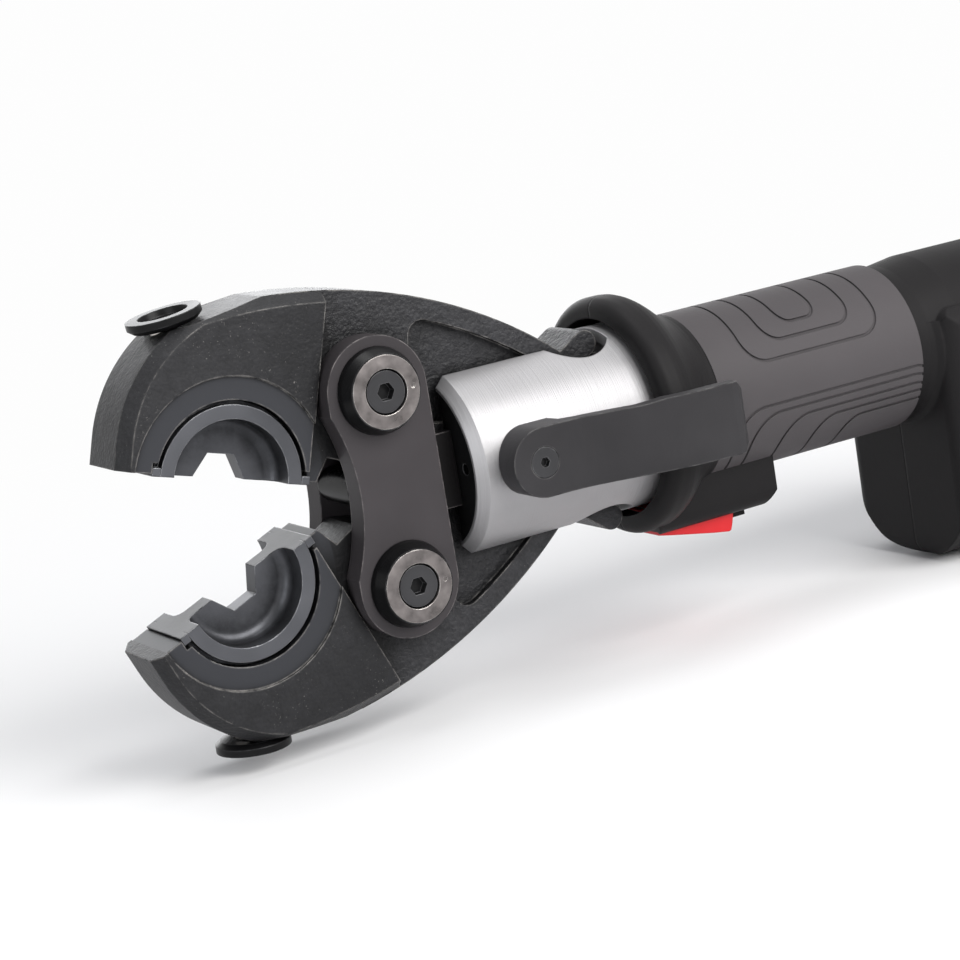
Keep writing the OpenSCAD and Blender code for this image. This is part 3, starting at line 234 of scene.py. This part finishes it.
def view_axes(azimuth, elevation, roll):
    """Right, up and backward unit vectors of a camera that looks at the tool's left side from its head end."""
    az, el, ro = (math.radians(v) for v in (azimuth, elevation, roll))
    back = np.array([-math.sin(az) * math.cos(el), -math.cos(az) * math.cos(el), math.sin(el)])
    level = np.array([math.cos(az), -math.sin(az), 0.0])
    rise = np.cross(back, level)
    right = math.cos(ro) * level + math.sin(ro) * rise
    return right, np.cross(back, right), back


def stand(thing, right, up, back, place):
    """Puts a camera or lamp at place with the given axes, and links it to the scene."""
    thing.matrix_world = Matrix([[right[i], up[i], back[i], place[i]] for i in range(3)] + [[0, 0, 0, 1]])
    bpy.context.scene.collection.objects.link(thing)


def place_camera():
    """Long lens, set square to the picture, at the photograph's place."""
    axes = view_axes(*VIEW_ANGLES)
    eye = sum(step * axis for step, axis in zip(EYE_STEPS_MM, axes)) * MM
    data = bpy.data.cameras.new("camera")
    data.sensor_width = SENSOR_MM
    data.lens = FOCAL_PX * SENSOR_MM / PICTURE_PX
    data.clip_end = CLIP_END
    cam = bpy.data.objects.new("camera", data)
    stand(cam, *axes, eye)
    bpy.context.scene.camera = cam


def area_light(name, place, size, watts, tint):
    """Square soft box at place, turned to face the aim."""
    data = bpy.data.lights.new(name, "AREA")
    data.size = size
    data.energy = watts
    data.color = tint
    lamp = bpy.data.objects.new(name, data)
    away = np.array(place, float) - np.array(AIM, float)
    away /= np.linalg.norm(away)
    right = np.cross([0.0, 0.0, 1.0], away)
    right /= np.linalg.norm(right)
    stand(lamp, right, np.cross(away, right), away, place)


def seen_rays(tree):
    """1 for rays that show the background: from the camera, from gloss and through clear things."""
    path = add_node(tree, "ShaderNodeLightPath")
    total = path.outputs["Is Camera Ray"]
    for kind in ("Is Glossy Ray", "Is Transmission Ray"):
        total = calc(tree, "MAXIMUM", total, path.outputs[kind])
    return total


def light_room():
    """Even pale surround that shows white behind the tool, and the soft boxes."""
    world = bpy.data.worlds.new("surround")
    bpy.context.scene.world = world
    world.use_nodes = True
    tree = world.node_tree
    tree.nodes.clear()
    link = tree.links.new
    out = add_node(tree, "ShaderNodeOutputWorld")
    seen = add_node(tree, "ShaderNodeBackground", Color=SURROUND, Strength=1.0)
    lit = add_node(tree, "ShaderNodeBackground", Color=FILL, Strength=FILL_STRENGTH)
    pick = add_node(tree, "ShaderNodeMixShader", Fac=seen_rays(tree))
    link(lit.outputs[0], pick.inputs[1])
    link(seen.outputs[0], pick.inputs[2])
    link(pick.outputs[0], out.inputs["Surface"])
    for name, (place, size, watts, tint) in SOFT_BOXES.items():
        area_light(name, place, size, watts, tint)


# Shader node groups

def new_group(name, inputs, outputs):
    """Empty shader group with float inputs, given by name and default, and outputs, given by name and kind. Returns
    the group, the sockets that its inputs come from and the sockets that its outputs go to."""
    group = bpy.data.node_groups.new(name, "ShaderNodeTree")
    for label, value in inputs.items():
        group.interface.new_socket(label, in_out="INPUT", socket_type="NodeSocketFloat").default_value = value
    for label, kind in outputs.items():
        group.interface.new_socket(label, in_out="OUTPUT", socket_type="NodeSocket" + kind)
    return group, group.nodes.new("NodeGroupInput").outputs, group.nodes.new("NodeGroupOutput").inputs


def grain_group():
    """Fine surface grain and a slow change of tone: two noise fields over the object's own coordinates.
    Height mixes a fine noise with one four times coarser; Tone is a slow noise from 0 to 1."""
    group, given, out = new_group("grain", {"Scale": 900.0, "Slow": 25.0}, {"Height": "Float", "Tone": "Float"})
    place = place_in(group)
    fine = noise(group, place, given["Scale"], 4.0, 0.6)
    coarse = noise(group, place, calc(group, "MULTIPLY", given["Scale"], 0.25), 2.0, 0.5)
    slow = noise(group, place, given["Slow"], 3.0, 0.55)
    feed(group, out["Height"], calc(group, "MULTIPLY", calc(group, "ADD", fine, coarse), 0.5))
    feed(group, out["Tone"], ramp(group, slow, 0.3, 0.7))
    return group


def edge_group():
    """Rubbed edges: where the rounded normal leaves the flat one, broken up by noise."""
    group, given, out = new_group("rubbed_edge", {"Radius": 0.0006, "Reach": 0.12, "Break": 220.0},
                                  {"Mask": "Float", "Normal": "Vector"})
    rounded = add_node(group, "ShaderNodeBevel", samples=6, Radius=given["Radius"]).outputs["Normal"]
    flat = add_node(group, "ShaderNodeNewGeometry").outputs["True Normal"]
    turn = calc(group, "SUBTRACT", 1.0, vector_node(group, "DOT_PRODUCT", rounded, flat).outputs["Value"])
    patchy = ramp(group, noise(group, place_in(group), given["Break"], 5.0, 0.65), 0.38, 0.62)
    worn = ramp(group, turn, 0.01, given["Reach"])
    feed(group, out["Mask"], calc(group, "MULTIPLY", worn, patchy))
    feed(group, out["Normal"], rounded)
    return group


def turning_group():
    """Tool marks of a lathe: noise stretched thin along the axis, so it lies in rings about X."""
    group, given, out = new_group("turning_marks", {"Scale": 2600.0}, {"Height": "Float"})
    place = vector_node(group, "MULTIPLY", place_in(group), RING_STRETCH).outputs[0]
    feed(group, out["Height"], noise(group, place, given["Scale"], 3.0, 0.6))
    return group


def glint_speck_group():
    """Pale specks, partly flecks of a rough casting and partly painted glints: the peaks of a fine noise, thinned out
    by a slower one.
    """
    group, given, out = new_group("glint_specks", {"Amount": 0.3}, {"Mask": "Float"})
    place = place_in(group)
    peaks = ramp(group, noise(group, place, 1500.0, 3.0, 0.6), 0.66, 0.74)
    patches = ramp(group, noise(group, place, 60.0, 3.0, 0.6), 0.42, 0.62)
    feed(group, out["Mask"], calc(group, "MULTIPLY", calc(group, "MULTIPLY", peaks, patches), given["Amount"]))
    return group


def crevice_shade_group():
    """Painted shade in crevices and next to other parts: the share of the sky that is hidden within Reach, broken up
    by noise.
    """
    group, given, out = new_group("crevice_shade", {"Reach": 0.004, "Amount": 0.6}, {"Mask": "Float"})
    clear = add_node(group, "ShaderNodeAmbientOcclusion", samples=8, Distance=given["Reach"]).outputs["AO"]
    depth = ramp(group, clear, 0.95, 0.5)
    patchy = ramp(group, noise(group, place_in(group), 140.0, 4.0, 0.6), 0.3, 0.6, start=0.55)
    feed(group, out["Mask"], calc(group, "MULTIPLY", calc(group, "MULTIPLY", depth, patchy), given["Amount"]))
    return group


def bore_group():
    """Inside of a cylinder along Y through the point (X, Z): 1 where the distance from that line is under Radius."""
    group, given, out = new_group("bored", {"X": 0.0, "Z": 0.0, "Radius": 0.0}, {"Mask": "Float"})
    place = split_place(group)
    off = {word: calc(group, "SUBTRACT", place[word], given[word]) for word in ("X", "Z")}
    aside = add_node(group, "ShaderNodeCombineXYZ", **off).outputs[0]
    far = vector_node(group, "LENGTH", aside).outputs["Value"]
    inner = calc(group, "SUBTRACT", given["Radius"], BAND_FADE)
    feed(group, out["Mask"], ramp(group, far, given["Radius"], inner))
    return group


def mate_group():
    """Faces in a plane along Y: 1 where x * Across X + z * Across Z is within MATE_REACH of Offset."""
    group, given, out = new_group("mating", {"Across X": 0.0, "Across Z": 0.0, "Offset": 0.0}, {"Mask": "Float"})
    place = split_place(group)
    along = calc(group, "MULTIPLY", place["X"], given["Across X"])
    total = calc(group, "MULTIPLY_ADD", place["Z"], given["Across Z"], along)
    feed(group, out["Mask"], calc(group, "COMPARE", total, given["Offset"], MATE_REACH))
    return group


def skin_group():
    """Coarse casting skin: a lumpy noise that shows only behind the place Front on X, and where the distance from
    the middle plane is under Half."""
    group, given, out = new_group("casting_skin", {"Half": 0.01, "Front": 0.0}, {"Height": "Float"})
    place = split_place(group)
    inside = calc(group, "LESS_THAN", calc(group, "ABSOLUTE", place["Y"]), given["Half"])
    behind = calc(group, "GREATER_THAN", place["X"], given["Front"])
    lumps = noise(group, place_in(group), SKIN_SCALE, 3.0, 0.6)
    feed(group, out["Height"], calc(group, "MULTIPLY", lumps, calc(group, "MULTIPLY", inside, behind)))
    return group


GRAIN = grain_group()
BORE = bore_group()
MATE = mate_group()
SKIN = skin_group()
CREVICE_SHADE = crevice_shade_group()
EDGE = edge_group()
TURNING = turning_group()
GLINT_SPECKS = glint_speck_group()


# Finishes

def srgb(r, g, b):
    """Linear colour of an sRGB triple from 0 to 255."""
    v = np.array([r, g, b]) / 255.0
    return [float(c) for c in np.where(v <= 0.04045, v / 12.92, ((v + 0.055) / 1.055) ** 2.4)]


BAND_COLOUR = srgb(50, 51, 55)


def shade(colour, share):
    """Colour times a share, no channel above 1."""
    return [min(1, share * c) for c in colour]


def use_group(tree, group, **values):
    """Outputs of a group node with its inputs set."""
    return add_node(tree, "ShaderNodeGroup", node_tree=group, **values).outputs


def finish(name, base, rough, metallic=0.0, scale=900.0, slow=25.0, depth=0.00004, tone=0.12, uneven=0.06,
           worn=None, worn_rough=0.35, edge=0.0006, reach=0.12, turned=0.0, glint_specks=0.0, specular=0.5, painted_shade=0.0,
           shade_reach=0.004, pits_and_glints=0.0, shade_from=None, bored=None, skin=None, mate=None):
    """Material: base colour that drifts by tone, roughness that drifts by uneven, grain of the given depth in
    metres, edges rounded by edge and rubbed to worn, lathe marks of depth turned, pale specks by glint_specks that
    are partly flecks of the casting and partly painted glints, painted shade in crevices and next to other parts by
    painted_shade within shade_reach metres, fine light and dark flecks by pits_and_glints that are partly pits and
    partly painted glints, painted shade on the part behind the place shade_from on X, a smooth machined face within
    bored: x, z and radius, a coarse casting skin by skin: half width and front end, whose lumps are lighter in colour
    as partly casting texture and partly painted glints, and darker faces in the plane mate: its normal's x and z and
    its offset."""
    mat = bpy.data.materials.new(name)
    mat.use_nodes = True
    tree = mat.node_tree
    shader = tree.nodes["Principled BSDF"].inputs
    shader["Metallic"].default_value = metallic
    shader["Specular IOR Level"].default_value = specular
    grain = use_group(tree, GRAIN, Scale=scale, Slow=slow)
    rim = use_group(tree, EDGE, Radius=edge, Reach=reach)
    colour = over(tree, grain["Tone"], shade(base, 1 - tone) + [1], shade(base, 1 + tone))
    level = ramp(tree, grain["Tone"], start=max(0.02, rough - uneven), end=min(1, rough + uneven))
    normal = rim["Normal"]
    grain_depth = depth
    # light and dark flecks in the colour: dark pits of the casting and painted glints
    if pits_and_glints:
        share = ramp(tree, grain["Height"], 0.36, 0.64, 1 - pits_and_glints, 1 + pits_and_glints)
        mixed = vector_node(tree, "SCALE", colour)
        feed(tree, mixed.inputs["Scale"], share)
        colour = mixed.outputs[0]
    # pale specks: partly flecks of the casting, partly painted glints
    if glint_specks:
        colour = over(tree, use_group(tree, GLINT_SPECKS, Amount=glint_specks)["Mask"], colour, worn)
    if bored:
        face = use_group(tree, BORE, X=bored[0], Z=bored[1], Radius=bored[2])["Mask"]
        colour = over(tree, face, colour, BAND_COLOUR)
        level = over_value(tree, face, level, BAND_ROUGH)
        grain_depth = ramp(tree, face, start=depth, end=BAND_GRAIN * depth)
    # painted shade: darker where the surround is hidden within the reach, next to other parts too
    if painted_shade:
        shade_mask = use_group(tree, CREVICE_SHADE, Amount=painted_shade, Reach=shade_reach)["Mask"]
        colour = over(tree, shade_mask, colour, shade(base, CREVICE_SHADE_SHARE))
    # darker faces in the mating plane
    if mate:
        plane = dict(zip(("Across X", "Across Z", "Offset"), mate))
        colour = over(tree, use_group(tree, MATE, **plane)["Mask"], colour, shade(base, MATE_DARK_SHARE))
    # painted shade: the part behind this place on X is darkened as if in shadow
    if shade_from is not None:
        behind = ramp(tree, split_place(tree)["X"], shade_from, shade_from + TAIL_FADE)
        colour = over(tree, behind, colour, shade(base, TAIL_SHADE_SHARE))
    # lighter lumps in the colour: partly casting texture, partly painted glints
    if skin:
        lumps = use_group(tree, SKIN, Half=skin[0], Front=skin[1])["Height"]
        colour = over(tree, lumps, colour, [SKIN_PALE_AND_GLINT] * 3, blend="MULTIPLY")
        normal = raised(tree, lumps, SKIN_DEPTH, normal)
    if worn is not None:
        colour = over(tree, rim["Mask"], colour, worn)
        level = over_value(tree, rim["Mask"], level, worn_rough)
    if turned:
        normal = raised(tree, use_group(tree, TURNING)["Height"], turned, normal)
    feed(tree, shader["Base Color"], colour)
    feed(tree, shader["Roughness"], level)
    feed(tree, shader["Normal"], raised(tree, grain["Height"], grain_depth, normal))
    return mat


def die_place(word):
    """Where a die's axis crosses the middle plane at rest, and the normal of its mating face: the closed place
    turned back about the jaw's hinge."""
    hinge = joints[word + "_jaw_swing"]
    pin = Vector(hinge["pos_m"])
    back = Matrix.Rotation(-math.radians(hinge["range_deg"][1]), 3, Vector(hinge["axis"]))
    return pin + back @ (Vector((pin.x - DIE_AHEAD, 0.0, 0.0)) - pin), back @ Vector((0.0, 0.0, 1.0))


def jaw_finish(word):
    """Rough black casting with the machined band round the die, painted shade in its crevices and next to other
    parts, and painted glints in its specks, flecks and skin.
    """
    middle, _ = die_place(word)
    return finish(word + "_jaw_steel", srgb(36, 36, 38), 0.42, scale=900, depth=0.00035, tone=0.2, specular=0.2,
                  worn=srgb(150, 147, 144), worn_rough=0.4, edge=0.0009, reach=0.2, glint_specks=0.6, painted_shade=1.0,
                  shade_reach=0.012, pits_and_glints=0.2, bored=(middle.x, middle.z, BAND_R), skin=(HUB_HALF, HUB_FRONT))


def die_finish(word):
    """Ground steel, darker on the mating face, with painted shade in its bowl and other hollows."""
    middle, across = die_place(word)
    return finish(word + "_die_steel", srgb(84, 85, 89), 0.32, metallic=0.65, scale=900, depth=0.00004, tone=0.25,
                  worn=srgb(150, 151, 154), worn_rough=0.3, edge=0.0005, painted_shade=1.0, shade_reach=0.03, specular=0.1,
                  mate=(across.x, across.z, across.dot(middle)))


FINISHES = {
    "black_nylon": finish("black_nylon", srgb(29, 28, 29), 0.5, scale=1500, depth=0.00005, tone=0.1, edge=0.0012,
                          specular=0.09),
    "grip_rubber": finish("grip_rubber", srgb(71, 68, 70), 0.6, scale=1300, depth=0.00005, tone=0.08, edge=0.0004,
                          specular=0.2),
    "red_plastic": finish("red_plastic", srgb(196, 30, 36), 0.35, scale=900, depth=0.00002, tone=0.06, edge=0.0008,
                          specular=0.3),
    "pack_plastic": finish("pack_plastic", srgb(34, 33, 34), 0.55, scale=1500, depth=0.00006, tone=0.1, edge=0.0008,
                           specular=0.1),
    "upper_jaw_steel": jaw_finish("upper"),
    "lower_jaw_steel": jaw_finish("lower"),
    # plate_steel: painted shade on its tail behind PLATE_TAIL
    "plate_steel": finish("plate_steel", srgb(60, 57, 59), 0.45, scale=900, depth=0.00003, tone=0.14,
                          worn=srgb(128, 123, 123), worn_rough=0.3, edge=0.0007, shade_from=PLATE_TAIL, specular=0.14),
    "upper_die_steel": die_finish("upper"),
    "lower_die_steel": die_finish("lower"),
    # painted shade in the crevices of the black steel
    "black_steel": finish("black_steel", srgb(17, 17, 18), 0.3, scale=900, depth=0.00003, tone=0.12,
                          worn=srgb(80, 80, 82), worn_rough=0.3, edge=0.0006, specular=0.14, painted_shade=0.7),
    "bright_steel": finish("bright_steel", srgb(196, 192, 188), 0.3, metallic=0.95, scale=1200, depth=0.00002,
                           tone=0.08, edge=0.0004),
    "ring_steel": finish("ring_steel", srgb(112, 107, 106), 0.36, metallic=0.8, scale=700, slow=160, depth=0.00003,
                         tone=0.4, uneven=0.12, worn=srgb(215, 210, 206), worn_rough=0.25, edge=0.0004),
    # painted shade in the hex sockets of the screws
    "screw_steel": finish("screw_steel", srgb(56, 56, 58), 0.42, metallic=0.1, scale=900, depth=0.00003, tone=0.2,
                          worn=srgb(120, 120, 122), edge=0.0004, painted_shade=1.0, shade_reach=0.009, specular=0.14),
    "silver_sleeve": finish("silver_sleeve", srgb(158, 157, 159), 0.46, metallic=0.65, scale=1500, depth=0.000015,
                            tone=0.08, edge=0.0006, turned=0.0001),
    "hook_paint": finish("hook_paint", srgb(49, 48, 50), 0.45, scale=800, depth=0.00008, tone=0.16,
                         worn=srgb(98, 97, 97), worn_rough=0.4, edge=0.0008, specular=0.14),
    "spring_steel": finish("spring_steel", srgb(120, 120, 124), 0.3, metallic=0.9, depth=0.00001),
    "cast_aluminium": finish("cast_aluminium", srgb(170, 170, 174), 0.42, metallic=0.9, depth=0.00004),
    "seal_rubber": finish("seal_rubber", srgb(24, 24, 25), 0.5),
    "bronze": finish("bronze", srgb(176, 140, 80), 0.35, metallic=0.9),
    "board": finish("board", srgb(30, 84, 52), 0.45),
}
OWN_FINISH = {
    "upper_jaw": "upper_jaw_steel",
    "lower_jaw": "lower_jaw_steel",
    "upper_die": "upper_die_steel",
    "lower_die": "lower_die_steel",
    "pin_rings": "ring_steel",
    "pin_screws": "screw_steel",
    "belt_hook_screw": "screw_steel",
    "roller_fork": "screw_steel",
    "jaw_stop": "black_steel",
}


def dress_nodes():
    """Gives each frame node its own finish, or else the finish of its material slot."""
    slot_of = {s["node"]: s["material_slot"] for s in frame["record"]["subparts"]}
    for name, obj in nodes.items():
        look = FINISHES[OWN_FINISH.get(name, slot_of[name])]
        mats = obj.data.materials
        if not mats:
            mats.append(look)
        for i in range(len(mats)):
            mats[i] = look


# Springs

def coil(name, centre, axis, length, radius, wire, turns, part=(0.0, 1.0)):
    """Round wire wound on a cylinder. Along the wire the angle grows evenly and the height is the sum of a pitch that
    is one wire at both ends and wider between, so the end turns lie closed. part keeps a share of the wire."""
    t = np.linspace(0.0, 1.0, int(turns * TURN_STEPS) + 1)
    lift = np.clip(np.minimum(t, 1 - t) * turns - CLOSED_TURNS, 0, 1)
    pitch = 1.0 + (length / (wire * turns) * OPEN_PITCH - 1.0) * lift * lift * (3 - 2 * lift)
    height = np.concatenate([[0.0], np.cumsum((pitch[1:] + pitch[:-1]) / 2)])
    height = (height / height[-1] - 0.5) * (length - wire)
    keep = (t >= part[0] - PART_SLACK) & (t <= part[1] + PART_SLACK)
    t, height = t[keep], height[keep]
    axis = np.array(axis, float) / np.linalg.norm(axis)
    side = np.cross(axis, [0.0, 1.0, 0.0])
    side /= np.linalg.norm(side)
    other = np.cross(axis, side)
    angle = 2 * np.pi * turns * t
    out = np.outer(np.cos(angle), side) + np.outer(np.sin(angle), other)
    line = np.array(centre, float) + radius * out + np.outer(height, axis)
    ahead = np.gradient(line, axis=0)
    ahead /= np.linalg.norm(ahead, axis=1)[:, None]
    across = np.cross(ahead, out)
    sides = WIRE_SIDES
    v = 2 * np.pi * np.arange(sides) / sides
    around = np.cos(v)[None, :, None] * out[:, None] + np.sin(v)[None, :, None] * across[:, None]
    ring = line[:, None] + wire / 2 * around
    i, k = np.meshgrid(np.arange(len(t) - 1), np.arange(sides), indexing="ij")
    nxt = (k + 1) % sides
    quads = np.stack([i * sides + k, i * sides + nxt, (i + 1) * sides + nxt, (i + 1) * sides + k], -1).reshape(-1, 4)
    ends = [list(range(sides))[::-1], list(range((len(t) - 1) * sides, len(t) * sides))]
    mesh = bpy.data.meshes.new(name)
    mesh.from_pydata(ring.reshape(-1, 3).tolist(), [], quads.tolist() + ends)
    mesh.polygons.foreach_set("use_smooth", [True] * len(quads) + [False, False])
    mesh.materials.append(FINISHES["spring_steel"])
    piece = bpy.data.objects.new(name, mesh)
    bpy.context.scene.collection.objects.link(piece)
    return piece


def middle_of(node):
    """Centre and side lengths of a node's box."""
    low, high = (np.array(c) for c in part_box(node))
    return (low + high) / 2, high - low


def wind_springs():
    """Wound springs in place of the plain tubes: the jaw spring as two halves that stay where they stand, the others
    carried by the body that holds them.
    """
    place, size = middle_of("jaw_spring")
    for word, way, share in (("upper", 1.0, (0.5, 1.0)), ("lower", -1.0, (0.0, 0.5))):
        half = coil("jaw_spring_" + word, place, (0, 0, 1), size[2], *JAW_COIL, share)
        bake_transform(half)
        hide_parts("jaw_spring")
    place, size = middle_of("return_spring")
    big = coil("return_spring_coil", place, (1, 0, 0), size[0], size[1] / 2 - RETURN_INSET, RETURN_WIRE, RETURN_TURNS)
    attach(big, "head")
    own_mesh(big)
    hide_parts("return_spring")
    length = KNOB_COIL_LENGTH
    for word in ("upper", "lower"):
        place, _ = middle_of(word + "_knob_spring")
        axis = np.array(joints[word + "_knob_lift"]["axis"], float)
        small = coil(word + "_knob_coil", place, axis, length, *KNOB_COIL)
        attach(small, word + "_jaw_arm")
        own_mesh(small)
        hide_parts(word + "_knob_spring")
    place, size = middle_of("plunger_spring")
    tiny = coil("plunger_coil", place, (0, 0, 1), size[2], size[0] / 2 - PLUNGER_INSET, PLUNGER_WIRE, PLUNGER_TURNS)
    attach(tiny, "tool_body")
    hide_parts("plunger_spring")


# Floor

def lay_floor():
    """Pale floor under the tool: it takes the tool's shadow and fades into the surround further out."""
    mat = bpy.data.materials.new("pale_floor")
    mat.use_nodes = True
    tree = mat.node_tree
    link = tree.links.new
    shader = tree.nodes["Principled BSDF"]
    shader.inputs["Base Color"].default_value = FLOOR_COLOUR
    shader.inputs["Roughness"].default_value = FLOOR_ROUGH
    shader.inputs["Specular IOR Level"].default_value = FLOOR_SPECULAR
    far = add_node(tree, "ShaderNodeEmission", Color=SURROUND)
    away = vector_node(tree, "LENGTH", place_in(tree)).outputs["Value"]
    fade = add_node(tree, "ShaderNodeMapRange", interpolation_type="SMOOTHSTEP", Value=away,
                    **{"From Min": FADE_START, "From Max": FADE_END}).outputs["Result"]
    pick = add_node(tree, "ShaderNodeMixShader", Fac=calc(tree, "MULTIPLY", fade, seen_rays(tree)))
    link(shader.outputs[0], pick.inputs[1])
    link(far.outputs[0], pick.inputs[2])
    link(pick.outputs[0], tree.nodes["Material Output"].inputs["Surface"])
    r, z = FLOOR_HALF, float(cad_box[0][2]) - FLOOR_GAP
    mesh = bpy.data.meshes.new("floor")
    mesh.from_pydata([(-r, -r, z), (r, -r, z), (r, r, z), (-r, r, z)], [], [(0, 1, 2, 3)])
    mesh.materials.append(mat)
    floor = bpy.data.objects.new("floor", mesh)
    bpy.context.scene.collection.objects.link(floor)


place_camera()
light_room()
dress_nodes()
wind_springs()
lay_floor()

bpy.context.scene.view_settings.view_transform = "Standard"
